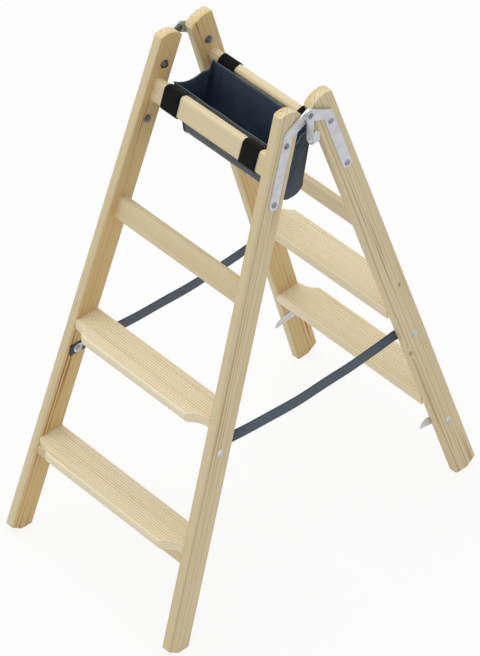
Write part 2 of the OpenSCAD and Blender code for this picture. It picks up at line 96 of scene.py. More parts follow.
class Ladder(Enum):
    """One of the two ladders that lean on each other."""

    FRONT = 1
    REAR = -1

    @property
    def tag(self) -> str:
        """The ladder's beginning in node names."""
        return "front" if self is Ladder.FRONT else "rear"

    @property
    def body(self) -> str:
        """The CAD body that the ladder's pieces ride on."""
        return f"{self.tag}_ladder"


def srgb(*channels: int) -> Colour:
    """Turns a display colour into a linear one.

    Args:
        channels: Red, green and blue from 0 to 255.

    Returns:
        The linear colour.
    """
    parts = [value / 255 for value in channels]
    red, green, blue = (p / 12.92 if p <= 0.04045 else ((p + 0.055) / 1.055) ** 2.4 for p in parts)
    return red, green, blue


# Node trees written as Python expressions


def _operator(operation: str, swapped: bool = False) -> Callable[..., "Val"]:
    """Makes a method that adds one Math node.

    Args:
        operation: The node's operation.
        swapped: Whether the other value stands in front.

    Returns:
        The method.
    """

    def method(*values: "Number") -> "Val":
        """Adds the node for a value and the other one, if any."""
        return values[0].kit.math(operation, *(values[::-1] if swapped else values))

    return method


class Val:
    """A socket that takes part in Python arithmetic and adds the Math nodes it needs."""

    def __init__(self, kit: "TreeKit", socket: bpy.types.NodeSocket) -> None:
        """Keeps an output socket and the builder of its tree."""
        self.kit = kit
        self.socket = socket

    __add__, __radd__ = _operator("ADD"), _operator("ADD", swapped=True)
    __sub__, __rsub__ = _operator("SUBTRACT"), _operator("SUBTRACT", swapped=True)
    __mul__, __rmul__ = _operator("MULTIPLY"), _operator("MULTIPLY", swapped=True)
    __truediv__, __pow__ = _operator("DIVIDE"), _operator("POWER")
    fract, floor = _operator("FRACT"), _operator("FLOOR")
    root, size, most = _operator("SQRT"), _operator("ABSOLUTE"), _operator("MAXIMUM")

    def ridge(self) -> "Val":
        """Falls from 1 to 0 and rises back once in each unit."""
        return (self.fract() - 0.5).size() * 2.0

    def step(self, low: float, high: float) -> "Val":
        """Rises smoothly from 0 at low to 1 at high.

        Args:
            low: Where the rise starts.
            high: Where the rise ends.

        Returns:
            The smooth step.
        """
        made = self.kit.node(
            "ShaderNodeMapRange",
            {"interpolation_type": "SMOOTHSTEP"},
            {"Value": self, "From Min": low, "From Max": high},
        )
        return Val(self.kit, made.outputs["Result"])


Number = Union[float, Val]


class TreeKit:
    """Builds the nodes of one shader or geometry tree."""

    def __init__(self, tree: bpy.types.NodeTree) -> None:
        """Keeps the tree that the nodes go into."""
        self.tree = tree

    def node(
        self,
        kind: str,
        settings: dict[str, Any] | None = None,
        inputs: dict[Union[str, int], Any] | None = None,
    ) -> bpy.types.Node:
        """Adds a node.

        Args:
            kind: The node's type.
            settings: Its settings.
            inputs: Values or links for its sockets, by name or place.

        Returns:
            The new node.
        """
        made = self.tree.nodes.new(kind)
        for name, value in (settings or {}).items():
            setattr(made, name, value)
        for name, value in (inputs or {}).items():
            self.feed(made.inputs[name], value)
        return made

    def feed(self, socket: bpy.types.NodeSocket, value: Any) -> None:
        """Links a value to a socket or sets it there.

        Args:
            socket: The input socket.
            value: A Val, a socket, a number or a tuple.
        """
        if isinstance(value, Val):
            self.tree.links.new(value.socket, socket)
        elif isinstance(value, bpy.types.NodeSocket):
            self.tree.links.new(value, socket)
        elif socket.type == "RGBA" and len(value) == 3:
            socket.default_value = (*value, 1.0)
        else:
            socket.default_value = value

    def math(self, operation: str, first: Number, second: Number | None = None) -> Val:
        """Adds one Math node.

        Args:
            operation: The node's operation.
            first: Its first value.
            second: Its second value, where it has one.

        Returns:
            The result.
        """
        inputs = {0: first} if second is None else {0: first, 1: second}
        made = self.node("ShaderNodeMath", {"operation": operation}, inputs)
        return Val(self, made.outputs[0])


class Surface(TreeKit):
    """One material: its patterns are expressions that end on a Principled shader."""

    def __init__(self, name: str, uv: bool = False) -> None:
        """Starts a material with its shader and its coordinates.

        Args:
            name: The material's name.
            uv: Whether patterns follow the piece's UV map, which is in metres.
        """
        self.material = bpy.data.materials.new(name)
        self.material.use_nodes = True
        super().__init__(self.material.node_tree)
        self.shader = self.tree.nodes["Principled BSDF"]
        if uv:
            self.place = self.node("ShaderNodeUVMap", {"uv_map": UV_NAME}).outputs["UV"]
        else:
            self.place = self.node("ShaderNodeTexCoord").outputs["Object"]

    def along(self, axis: Sequence[float]) -> Val:
        """How far a point lies along an axis.

        Args:
            axis: A unit vector.

        Returns:
            The distance.
        """
        made = self.node(
            "ShaderNodeVectorMath",
            {"operation": "DOT_PRODUCT"},
            {0: self.place, 1: tuple(axis)},
        )
        return Val(self, made.outputs["Value"])

    def vector(self, x: Number, y: Number, z: Number) -> Val:
        """Joins three values to a vector."""
        return Val(self, self.node("ShaderNodeCombineXYZ", None, {0: x, 1: y, 2: z}).outputs[0])

    def speckle(self, place: Any, scale: float, detail: float = 3.0, rough: float = 0.5) -> Val:
        """Adds a noise pattern.

        Args:
            place: The coordinates.
            scale: The pattern's scale.
            detail: How many finer layers it has.
            rough: How strong these are.

        Returns:
            A value about 0.5.
        """
        made = self.node(
            "ShaderNodeTexNoise",
            None,
            {"Vector": place, "Scale": scale, "Detail": detail, "Roughness": rough},
        )
        return Val(self, made.outputs["Fac"])

    def cloth_speckle(self, fine: float, detail: float, rough: float = 0.5, coarse: float = 0.0) -> Val:
        """Noise about 0.5 on a flat cloth; coarse is its scale along the cloth where that differs."""
        length = self.along((1, 0, 0)) * (coarse or fine)
        return self.speckle(self.vector(length, self.along((0, 1, 0)) * fine, 0.0), 1.0, detail, rough)

    def chance(self, count: Val) -> Val:
        """A random value from 0 to 1 for each whole number."""
        made = self.node("ShaderNodeTexWhiteNoise", {"noise_dimensions": "1D"}, {"W": count})
        return Val(self, made.outputs["Value"])

    def blend(self, share: Number, first: Any, second: Any) -> Val:
        """Mixes two colours, by the share of the second one."""
        made = self.node("ShaderNodeMix", {"data_type": "RGBA"}, {0: share, 6: first, 7: second})
        return Val(self, made.outputs[2])

    def finish(
        self,
        colour: Any,
        roughness: Number,
        height: Val | None = None,
        depth: float = 0.0002,
        **constants: Any,
    ) -> Material:
        """Connects the patterns to the shader.

        Args:
            colour: The base colour.
            roughness: The roughness.
            height: A height pattern for the bump.
            depth: The bump's depth in metres.
            constants: Other sockets, set to plain numbers, with _ for a space in their names.

        Returns:
            The material.
        """
        self.feed(self.shader.inputs["Base Color"], colour)
        self.feed(self.shader.inputs["Roughness"], roughness)
        for name, value in constants.items():
            self.feed(self.shader.inputs[name.replace("_", " ")], value)
        if height is not None:
            values = {"Height": height, "Distance": depth, "Strength": BUMP_STRENGTH}
            bump = self.node("ShaderNodeBump", None, values)
            self.feed(self.shader.inputs["Normal"], bump.outputs["Normal"])
        return self.material


# Finishes


@dataclass(frozen=True)
class Grooves:
    """Where the grooves of a step lie: their floors get painted shade, darker than the planed face."""

    top: float
    first: float
    last: float
    floor: Point2 = (0.0001, 0.0009)
    end: Point2 = (0.0016, 0.002)
    margin: float = 0.0003

    def depth(self, paint: Surface) -> Val:
        """How deep a point lies in a groove, from 0 at the face to 1 on the floor.

        Args:
            paint: The step's material.

        Returns:
            The share, which is 0 outside the grooved part.
        """
        below = self.top - paint.along((0, 0, 1))
        y = paint.along((0, 1, 0))
        low, high = sorted((self.first, self.last))
        inside = y.step(low, low + self.margin) * (1.0 - y.step(high - self.margin, high))
        return below.step(*self.floor) * (1.0 - below.step(*self.end)) * inside


@dataclass(frozen=True)
class Board:
    """How one board lies in its log.

    The centre, the heart and the inner face are places along the board's width and thickness.
    """

    grain: Vector
    across: Vector
    centre: float
    heart: Point2
    inner: float
    seed: float
    half_depth: float
    knots: tuple[Vector, ...] = ()


@dataclass(frozen=True)
class PineFinish:
    """Planed pine: growth rings about a heart beside the board, fine fibres, a warm drift of tone, painted
    warm bounce light on the inner face and painted shade in groove floors.
    """

    early: Colour = srgb(224, 211, 176)
    warm: Colour = srgb(214, 196, 154)
    late: Colour = srgb(176, 136, 76)
    bounce_tone: Colour = srgb(214, 180, 118)
    flame_tone: Colour = srgb(158, 112, 52)
    fibre_tone: Colour = srgb(188, 156, 106)
    knot_tone: Colour = srgb(140, 98, 56)
    groove_shade_tone: Colour = srgb(194, 158, 100)
    ring: float = 0.0034
    wander: float = 0.010
    contrast: float = 0.4
    golden: float = 0.0
    flames: float = 0.25
    plain_edges: float = 0.0
    groove_shade_share: float = 0.26
    knot_stretch: float = 0.5
    knot_rings: Point2 = (0.001, 0.012)
    knot_core: Point2 = (0.0006, 0.0054)
    roughness: float = 0.58

    def dress(self, name: str, board: Board, grooves: Grooves | None = None) -> Material:
        """Makes the material of one board.

        Args:
            name: The material's name.
            board: How the board lies in its log.
            grooves: The grooves of a step.

        Returns:
            The material.
        """
        paint = Surface(name)
        place = paint.along(board.grain)
        length = place + board.seed
        width = paint.along(board.across)
        thick = paint.along(board.grain.cross(board.across).normalized())

        def fibres(long: float, cross: float, detail: float, rough: float, shift: float = 0.0) -> Val:
            """Noise drawn out along the fibres."""
            spot = paint.vector(length * long + shift, width * cross, thick * cross)
            return paint.speckle(spot, 1.0, detail, rough)

        drift, bend = fibres(1.3, 4.0, 1.0, 0.5), fibres(3.0, 16.0, 2.0, 0.5)
        reach = ((width - board.heart[0]) ** 2.0 + (thick - board.heart[1]) ** 2.0).root()
        rings = (reach + (drift - 0.5) * self.wander + (bend - 0.5) * self.wander * 0.25) / self.ring
        core: Number = 0.0
        for knot in board.knots:
            along = (place - knot.dot(board.grain)) * self.knot_stretch
            beside = width - knot.dot(board.across)
            away = (along ** 2.0 + beside ** 2.0).root()
            rings = rings + (1.0 - away.step(*self.knot_rings)) * 2.0
            core = (1.0 - away.step(*self.knot_core)) + core
        share = rings.fract()
        edge = (board.half_depth - 0.003, board.half_depth - 0.001)
        plain = 1.0 - (width - board.centre).size().step(*edge) * self.plain_edges
        band = share.step(0.45, 0.90) * (1.0 - share.step(0.92, 1.0)) * plain
        year = paint.chance(rings.floor())
        fibre = fibres(14.0, 900.0, 2.0, 0.6)
        streak, tone = fibres(2.2, 60.0, 3.0, 0.6), fibres(0.9, 18.0, 1.0, 0.5)
        sap = paint.blend((streak.step(0.25, 0.8) + tone.step(0.3, 0.75)) * 0.5, self.early, self.warm)
        # Painted bounce light: the face towards the ladder's middle turns warmer and more golden, and its
        # flames grow stronger.
        inner_face_bounce = (1.0 - (thick - board.inner).size().step(0.0015, 0.012)) * plain
        base = paint.blend(inner_face_bounce * self.golden, sap, self.bounce_tone)
        flame, patch = fibres(2.6, 240.0, 1.0, 0.4, 7.0), fibres(2.0, 34.0, 1.0, 0.5, 3.0)
        flamed = flame.step(0.54, 0.70) * (0.12 + patch.step(0.5, 0.62)) * (0.65 + inner_face_bounce * 0.5)
        ringed = paint.blend(band * (0.10 + year ** 3.0) * self.contrast, base, self.late)
        ringed = paint.blend(flamed * self.flames * plain, ringed, self.flame_tone)
        fibred = paint.blend(fibre.step(0.55, 0.85) * 0.16, ringed, self.fibre_tone)
        if board.knots:
            fibred = paint.blend(core * 0.7, fibred, self.knot_tone)
        # Painted shade: the groove floors are darkened towards the groove tone.
        if grooves is not None:
            fibred = paint.blend(grooves.depth(paint) * self.groove_shade_share, fibred, self.groove_shade_tone)
        gloss = self.roughness + (fibre - 0.5) * 0.10 + band * 0.04
        height = band * 0.35 + fibre * 0.65
        return paint.finish(fibred, gloss, height, 0.00022, Specular_IOR_Level=0.3)


@dataclass(frozen=True)
class ZincFinish:
    """Zinc plated steel: a pale, slightly cloudy grey with fine scuffs."""

    colour: Colour = srgb(220, 222, 225)
    cloud: Colour = srgb(206, 208, 213)
    scuffed: Colour = srgb(160, 162, 168)
    roughness: float = 0.42
    metallic: float = 0.7

    def dress(self, name: str) -> Material:
        """Makes the material.

        Args:
            name: The material's name.

        Returns:
            The material.
        """
        paint = Surface(name)
        cloud = paint.speckle(paint.place, 55.0, 3.0, 0.6)
        down, through = paint.along((0, 0.6, 0.8)) * 60.0, paint.along((0, 0.8, -0.6)) * 900.0
        scuff = paint.speckle(paint.vector(paint.along((1, 0, 0)) * 300.0, down, through), 1.0, 3.0, 0.7)
        colour = paint.blend(cloud.step(0.35, 0.7), self.colour, self.cloud)
        worn = paint.blend(scuff.step(0.62, 0.8) * 0.3, colour, self.scuffed)
        gloss = self.roughness + (cloud - 0.5) * 0.18 + scuff.step(0.6, 0.8) * 0.12
        return paint.finish(worn, gloss, scuff * 0.5 + cloud * 0.5, 0.00006, Metallic=self.metallic)


@dataclass(frozen=True)
class WebbingFinish:
    """Woven webbing: a slanted weave with darker woven edges and painted shade darkening both ends, on a UV
    map in metres.
    """

    colour: Colour = srgb(94, 106, 120)
    shade: Colour = srgb(58, 69, 82)
    dark: Colour = srgb(30, 37, 48)
    width: float = 0.0265
    length: float = 0.5582
    end_shade_reach: float = 0.036
    pitch: float = 0.0016

    def dress(self, name: str) -> Material:
        """Makes the material.

        Args:
            name: The material's name.

        Returns:
            The material.
        """
        paint = Surface(name, uv=True)
        length = paint.along((1, 0, 0))
        across = paint.along((0, 1, 0))
        slope = (across / (self.pitch * 4.0)).ridge()
        rib = (length / self.pitch + slope).ridge()
        yarn = (across / (self.pitch * 0.5)).ridge()
        weave = rib * 0.65 + yarn * 0.35
        edge = (across.size() / (self.width / 2)).step(0.86, 0.97)
        fuzz = paint.cloth_speckle(900.0, 2.0)
        colour = paint.blend(weave * 0.75 + fuzz * 0.2, self.shade, self.colour)
        # Painted shade: both ends of the strap are darkened, fully at the very ends and fading out further
        # along.
        ends = 1.0 - length.step(self.end_shade_reach, self.end_shade_reach * 4) * (
            1.0 - length.step(self.length - self.end_shade_reach * 4, self.length - self.end_shade_reach)
        )
        edged = paint.blend(edge * 0.45 + ends * 0.5, colour, self.dark)
        gloss, height = 0.82 + (fuzz - 0.5) * 0.1, weave + fuzz * 0.3
        return paint.finish(edged, gloss, height, 0.0004, Sheen_Weight=0.25, Specular_IOR_Level=0.25)


@dataclass(frozen=True)
class BagCloth:
    """Coated plain-woven cloth on a UV map in metres."""

    colour: Colour
    shade: Colour
    roughness: float = 0.62
    gloss: float = 0.25
    pitch: float = 0.0009

    def dress(self, name: str) -> Material:
        """Makes the material.

        Args:
            name: The material's name.

        Returns:
            The material.
        """
        paint = Surface(name, uv=True)
        warp, weft = ((paint.along(way) / self.pitch).ridge() for way in ((1, 0, 0), (0, 1, 0)))
        slub = paint.cloth_speckle(900.0, 3.0, 0.6, coarse=60.0)
        cloud = paint.cloth_speckle(9.0, 3.0, 0.6)
        weave = warp * 0.5 + weft * 0.5
        colour = paint.blend(weave * 0.5 + slub * 0.4, self.shade, self.colour)
        rubbed = paint.blend(cloud.step(0.45, 0.75) * 0.25, colour, self.colour)
        dull, height = self.roughness + (slub - 0.5) * 0.15, weave * 0.7 + slub * 0.3
        return paint.finish(rubbed, dull, height, 0.00012, Specular_IOR_Level=self.gloss)


@dataclass(frozen=True)
class FuzzyTape:
    """Hook and loop tape: near black with a short, uneven pile."""

    colour: Colour = srgb(12, 12, 12)
    tips: Colour = srgb(44, 43, 42)

    def dress(self, name: str) -> Material:
        """Makes the material.

        Args:
            name: The material's name.

        Returns:
            The material.
        """
        paint = Surface(name, uv=True)
        pile, tufts = paint.cloth_speckle(1400.0, 3.0, 0.7), paint.cloth_speckle(260.0, 2.0, 0.7)
        colour = paint.blend(pile.step(0.5, 0.85) * 0.5, self.colour, self.tips)
        dusty = paint.blend(tufts.step(0.5, 0.75) * 0.45, colour, self.tips)
        gloss = 0.9 + (pile - 0.5) * 0.1
        return paint.finish(dusty, gloss, pile, 0.0007, Sheen_Weight=0.04, Specular_IOR_Level=0.12)


@dataclass(frozen=True)
class ThreadFinish:
    """Sewing thread or bound edging in one tone with a fine twist."""

    colour: Colour
    roughness: float = 0.6

    def dress(self, name: str) -> Material:
        """Makes the material.

        Args:
            name: The material's name.

        Returns:
            The material.
        """
        paint = Surface(name)
        twist = paint.speckle(paint.place, 1500.0, 2.0)
        dark = tuple(part * 0.6 for part in self.colour)
        colour = paint.blend(twist, dark, self.colour)
        return paint.finish(colour, self.roughness + twist * 0.1, twist, 0.0002)


# Meshes


def clean_mesh(
    name: str,
    points: Iterable[Vector],
    faces: Iterable[Sequence[int]],
    edges: Iterable[Sequence[int]] = (),
) -> Object:
    """Makes a smooth object at the origin.

    Args:
        name: The object's name.
        points: Its corners in the row frame.
        faces: Its faces.
        edges: Its loose edges.

    Returns:
        The linked object.
    """
    mesh = bpy.data.meshes.new(name)
    mesh.from_pydata([tuple(point) for point in points], list(edges), list(faces))
    mesh.validate()
    for polygon in mesh.polygons:
        polygon.use_smooth = True
    made = bpy.data.objects.new(name, mesh)
    bpy.context.scene.collection.objects.link(made)
    return made


def running(points: Sequence[Any]) -> list[float]:
    """Lengths along a line of points, from 0 at its start."""
    return [0.0, *accumulate(math.dist(a, b) for a, b in zip(points, points[1:]))]


def sheet_mesh(
    name: str, grid: Grid, uv: Callable[[int, int], Point2], closed: bool = False
) -> Object:
    """Makes a sheet from rows of points, with its UV map in metres.

    Args:
        name: The object's name.
        grid: Rows of points, all of one length.
        uv: Gives the place on the flat cloth of a row and a column, one past the last where closed.
        closed: Whether each row runs round to its start.

    Returns:
        The linked object.
    """
    columns = len(grid[0])
    points = [point for row in grid for point in row]
    faces: list[tuple[int, int, int, int]] = []
    spots: list[Point2] = []
    for i in range(len(grid) - 1):
        for j in range(columns if closed else columns - 1):
            k = (j + 1) % columns
            faces.append((i * columns + j, i * columns + k, (i + 1) * columns + k, (i + 1) * columns + j))
            spots += [uv(i, j), uv(i, j + 1), uv(i + 1, j + 1), uv(i + 1, j)]
    made = clean_mesh(name, points, faces)
    layer = made.data.uv_layers.new(name=UV_NAME)
    for item, spot in zip(layer.data, spots):
        item.uv = spot
    return made


def bake(made: Object) -> Object:
    """Replaces an object's mesh by its evaluated one and drops its modifiers.

    Args:
        made: The object.

    Returns:
        The same object.
    """
    graph = bpy.context.evaluated_depsgraph_get()
    graph.update()
    mesh = bpy.data.meshes.new_from_object(made.evaluated_get(graph))
    made.modifiers.clear()
    old = made.data
    made.data = mesh
    mesh.name = made.name
    bpy.data.meshes.remove(old)
    return made


def thicken(made: Object, thickness: float, offset: float, inner: int = 0) -> Object:
    """Gives a sheet its thickness.

    Args:
        made: The sheet.
        thickness: Its thickness.
        offset: -1 to grow inward, 1 to grow outward.
        inner: How much higher the inner side's material slot is.

    Returns:
        The same object.
    """
    wall = made.modifiers.new("Wall", "SOLIDIFY")
    wall.thickness = thickness
    wall.offset = offset
    wall.use_even_offset = True
    wall.material_offset = inner
    return bake(made)


def turn_out(made: Object, join: float = 0.0) -> None:
    """Turns a sheet's faces to one side, and closes its seam first where it has one.

    Args:
        made: The sheet.
        join: How near two points of the seam lie, or 0 for none.
    """
    work = bmesh.new()
    work.from_mesh(made.data)
    if join:
        bmesh.ops.remove_doubles(work, verts=work.verts, dist=join)
        bmesh.ops.dissolve_degenerate(work, dist=join / 2, edges=work.edges)
    bmesh.ops.recalc_face_normals(work, faces=work.faces)
    work.to_mesh(made.data)
    work.free()


class GrowTree(TreeKit):
    """A Geometry Nodes tree that grows something along the edges of a guide mesh."""

    def __init__(self, name: str, sizes: dict[str, float]) -> None:
        """Makes the tree with one named input for each size.

        Args:
            name: The tree's name.
            sizes: The named sizes and their values.
        """
        group = bpy.data.node_groups.new(name, "GeometryNodeTree")
        super().__init__(group)
        faces = group.interface
        faces.new_socket(name="Guide", in_out="INPUT", socket_type="NodeSocketGeometry")
        faces.new_socket(name="Geometry", in_out="OUTPUT", socket_type="NodeSocketGeometry")
        for size in sizes:
            faces.new_socket(name=size, in_out="INPUT", socket_type="NodeSocketFloat")
        faces.new_socket(name="Finish", in_out="INPUT", socket_type="NodeSocketMaterial")
        self.sizes = sizes
        self.start = self.node("NodeGroupInput")
        self.end = self.node("NodeGroupOutput")

    def size(self, name: str) -> Val:
        """One of the tree's named sizes."""
        return Val(self, self.start.outputs[name])

    def close(self, geometry: bpy.types.NodeSocket) -> None:
        """Ends the tree in real geometry with its finish.

        Args:
            geometry: What the tree has grown.
        """
        real = self.node("GeometryNodeRealizeInstances", None, {0: geometry})
        smooth = self.node("GeometryNodeSetShadeSmooth", None, {"Geometry": real.outputs[0]})
        painted = self.node(
            "GeometryNodeSetMaterial",
            None,
            {"Geometry": smooth.outputs[0], "Material": self.start.outputs["Finish"]},
        )
        self.feed(self.end.inputs[0], painted.outputs[0])

    def grow(
        self, name: str, lines: Sequence[Sequence[Vector]], finish: Material, ring: bool = False
    ) -> Object:
        """Runs the tree on guide lines.

        Args:
            name: The piece's name.
            lines: The lines' points in the row frame.
            finish: The material.
            ring: Whether each line closes on itself.

        Returns:
            The baked piece.
        """
        points = [point for line in lines for point in line]
        edges: list[tuple[int, int]] = []
        first = 0
        for line in lines:
            edges += [(first + i, first + i + 1) for i in range(len(line) - 1)]
            if ring:
                edges.append((first + len(line) - 1, first))
            first += len(line)
        made = clean_mesh(name, points, [], edges)
        grown = made.modifiers.new("Grow", "NODES")
        grown.node_group = self.tree
        values = {**self.sizes, "Finish": finish}
        for item in self.tree.interface.items_tree:
            if item.in_out == "INPUT" and item.name in values:
                grown[item.identifier] = values[item.name]
        return bake(made)


def piping_tree(radius: float) -> GrowTree:
    """A round edging that follows its guide line.

    Args:
        radius: The edging's radius.

    Returns:
        The tree.
    """
    tree = GrowTree("Piping", {"Radius": radius})
    line = tree.node("GeometryNodeMeshToCurve", None, {"Mesh": tree.start.outputs["Guide"]})
    ring = tree.node(
        "GeometryNodeCurvePrimitiveCircle", None, {"Resolution": 12, "Radius": tree.size("Radius")}
    )
    tube = tree.node(
        "GeometryNodeCurveToMesh",
        None,
        {"Curve": line.outputs[0], "Profile Curve": ring.outputs["Curve"], "Fill Caps": True},
    )
    tree.close(tube.outputs[0])
    return tree


@dataclass(frozen=True)
class Stitch:
    """One kind of stitch: from stitch to stitch, a stitch's length and the thread's radius."""

    pitch: float
    length: float
    radius: float


def stitch_tree(stitch: Stitch) -> GrowTree:
    """A row of stitches along its guide line.

    Args:
        stitch: The kind of stitch.

    Returns:
        The tree.
    """
    sizes = {"Pitch": stitch.pitch, "Length": stitch.length, "Thread": stitch.radius}
    tree = GrowTree("Stitches", sizes)
    line = tree.node("GeometryNodeMeshToCurve", None, {"Mesh": tree.start.outputs["Guide"]})
    spots = tree.node(
        "GeometryNodeResampleCurve",
        {"mode": "LENGTH"},
        {"Curve": line.outputs[0], "Length": tree.size("Pitch")},
    )
    bead = tree.node("GeometryNodeMeshUVSphere", None, {"Segments": 6, "Rings": 4, "Radius": 1.0})
    shape = tree.node(
        "ShaderNodeCombineXYZ",
        None,
        {0: tree.size("Thread"), 1: tree.size("Thread"), 2: tree.size("Length") / 2.0},
    )
    tangent = tree.node("GeometryNodeInputTangent")
    turn = tree.node("FunctionNodeAlignRotationToVector", {"axis": "Z"}, {"Vector": tangent.outputs[0]})
    placed = tree.node(
        "GeometryNodeInstanceOnPoints",
        None,
        {
            "Points": spots.outputs[0],
            "Instance": bead.outputs[0],
            "Rotation": turn.outputs[0],
            "Scale": shape.outputs[0],
        },
    )
    tree.close(placed.outputs[0])
    return tree


# The object's sub-assemblies


@dataclass
class TrestleShape:
    """The sizes that the CAD source gives both ladders, in metres."""

    pivot: float = 1.0983
    lean: float = math.radians(18)
    inner: float = 0.0114
    depth: float = 0.057
    half_width: float = 0.1767
    splay: float = 0.0627
    board: float = 0.0216

    def point(self, ladder: Ladder, w: float, n: float, x: float) -> Vector:
        """A point of a ladder's own frame in the row frame.

        Args:
            ladder: The ladder.
            w: The place along the stile, up from the pivot.
            n: The distance outward from the pivot's plane.
            x: The place across.

        Returns:
            The point.
        """
        y = w * math.sin(self.lean) - n * math.cos(self.lean)
        z = self.pivot + w * math.cos(self.lean) + n * math.sin(self.lean)
        return Vector((x, y * ladder.value, z))

    def up(self, ladder: Ladder, side: Side | None = None) -> Vector:
        """The direction up a ladder's plane, or up one of its splayed stiles.

        Args:
            ladder: The ladder.
            side: The side of a stile, or None for the plane.

        Returns:
            A unit vector.
        """
        across = 0.0 if side is None else -side.value * self.splay
        along = self.point(ladder, 1, 0, across) - self.point(ladder, 0, 0, 0)
        return along.normalized()

    def outward(self, ladder: Ladder) -> Vector:
        """The direction square to a ladder's plane."""
        return (self.point(ladder, 0, 1, 0) - self.point(ladder, 0, 0, 0)).normalized()

    def inner_face(self, w: float) -> float:
        """Half the clear width between the stiles."""
        beta = math.atan(self.splay)
        return self.half_width - self.splay * w - self.board / math.cos(beta)


@dataclass
class WoodWork:
    """The stiles, steps, battens and slats, which keep their CAD solids and get pine finishes."""

    shape: TrestleShape
    # The stiles carry painted warm bounce light on their faces towards the ladder's middle.
    stiles: PineFinish = PineFinish(
        ring=0.0044, contrast=0.6, golden=0.7, flames=0.9, plain_edges=0.7
    )
    steps: PineFinish = PineFinish(
        early=srgb(241, 232, 204), warm=srgb(236, 222, 186), contrast=0.3, flames=0.12
    )
    slats: PineFinish = PineFinish(wander=0.016, contrast=0.6, flames=0.4)
    heart_distance: float = 0.052
    knots: tuple[Point2, ...] = ((-0.571, 0.049), (-0.759, 0.016))
    step_tops: tuple[float, float] = (0.234, 0.504)
    step_depth: float = 0.083
    groove_margin: float = 0.0056
    seed_step: float = 1.37

    def dress(self) -> None:
        """Dresses every board."""
        seed = 0.0
        deep, wide = Vector((0, 1, 0)), Vector((1, 0, 0))
        for ladder in Ladder:
            for side in Side:
                seed += self.seed_step
                name = f"{ladder.tag}_stile_{side.tag}"
                grain, across = self.shape.up(ladder, side), self.shape.outward(ladder)
                self._board(self.stiles, name, grain, across, seed, knots=self._knots(ladder, side))
            for name, top in zip(("step_lower", "step_upper"), self.step_tops):
                seed += self.seed_step
                grooves = self._grooves(ladder, top)
                self._board(self.steps, f"{ladder.tag}_{name}", wide, deep, seed, grooves=grooves)
            for name, across in (
                ("step_batten", deep),
                ("brace", self.shape.up(ladder)),
                ("top_slat", self.shape.up(ladder)),
            ):
                seed += self.seed_step
                self._board(self.slats, f"{ladder.tag}_{name}", wide, across, seed)

    def _knots(self, ladder: Ladder, side: Side) -> tuple[Vector, ...]:
        """The knots of the rear right stile; the other stiles have none."""
        knots = self.knots if (ladder, side) == (Ladder.REAR, Side.RIGHT) else ()
        return tuple(self.shape.point(ladder, w, n, self.shape.half_width) for w, n in knots)

    def _grooves(self, ladder: Ladder, top: float) -> Grooves:
        """Where the grooves of one step lie.

        Args:
            ladder: The step's ladder.
            top: The height of the step's upper face.

        Returns:
            The grooves.
        """
        lean, inner = self.shape.lean, self.shape.inner
        w = (top - self.shape.pivot - inner * math.sin(lean)) / math.cos(lean)
        back = self.shape.point(ladder, w, inner, 0).y
        outward = -1.0 if ladder is Ladder.FRONT else 1.0
        first = back + outward * self.groove_margin
        last = back + outward * (self.step_depth - self.groove_margin)
        return Grooves(top, first, last)

    def _board(
        self,
        finish: PineFinish,
        node: str,
        grain: Vector,
        across: Vector,
        seed: float,
        grooves: Grooves | None = None,
        knots: tuple[Vector, ...] = (),
    ) -> None:
        """Dresses one board, with the tree's heart towards the ladder's middle.

        Args:
            finish: The kind of pine.
            node: The CAD node.
            grain: The direction of the fibres.
            across: The direction of the board's width.
            seed: Tells one board from the next.
            grooves: The grooves of a step.
            knots: Where a stile's knots lie.
        """
        low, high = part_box(node)
        middle = (low + high) / 2
        normal = grain.cross(across).normalized()
        inward = -1.0 if normal.dot(middle - Vector((0, 0, 0.4))) > 0 else 1.0
        side = self.heart_distance if math.cos(seed * 2.4) > 0 else -self.heart_distance
        axis = Vector((0, 0, self.shape.pivot)).dot(across) + self.shape.inner + self.shape.depth / 2
        board = Board(
            grain=grain,
            across=across,
            centre=axis,
            heart=(middle.dot(across) + side, middle.dot(normal) + self.heart_distance * inward),
            inner=middle.dot(normal) + self.shape.board / 2 * inward,
            seed=seed,
            half_depth=self.shape.depth / 2,
            knots=knots,
        )
        dress_node(node, finish.dress(f"pine_{node}", board, grooves))


def dress_node(node: str, material: Material) -> None:
    """Gives a CAD node its material.

    Args:
        node: The CAD node's name.
        material: The material.
    """
    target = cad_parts[node]
    if not target.material_slots:
        target.data.materials.append(material)
    for slot in target.material_slots:
        slot.material = material
    log.info("dressed %s", node)


@dataclass
class MetalWork:
    """Hinge plates, bolts, nuts, rivets, clips and the bucket hook, which keep their CAD solids."""

    sheet: ZincFinish = ZincFinish()
    small: ZincFinish = ZincFinish(srgb(150, 152, 162), srgb(108, 110, 121), roughness=0.28, metallic=0.85)
    broad: ZincFinish = ZincFinish(srgb(214, 216, 219), srgb(176, 179, 186), roughness=0.3, metallic=0.8)

    def dress(self) -> None:
        """Dresses every metal node."""
        sheet = self.sheet.dress("zinc_sheet")
        small = self.small.dress("zinc_hinge_fasteners")
        broad = self.broad.dress("zinc_coach_bolts")
        for node in sorted(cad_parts):
            if any(word in node for word in ("strap_bolt", "strap_nut", "clip_bolt", "clip_nut")):
                dress_node(node, broad)
            elif any(word in node for word in ("bolt", "nut", "rivet")):
                dress_node(node, small)
            elif "plate" in node or node == "hook" or node.startswith("clip"):
                dress_node(node, sheet)


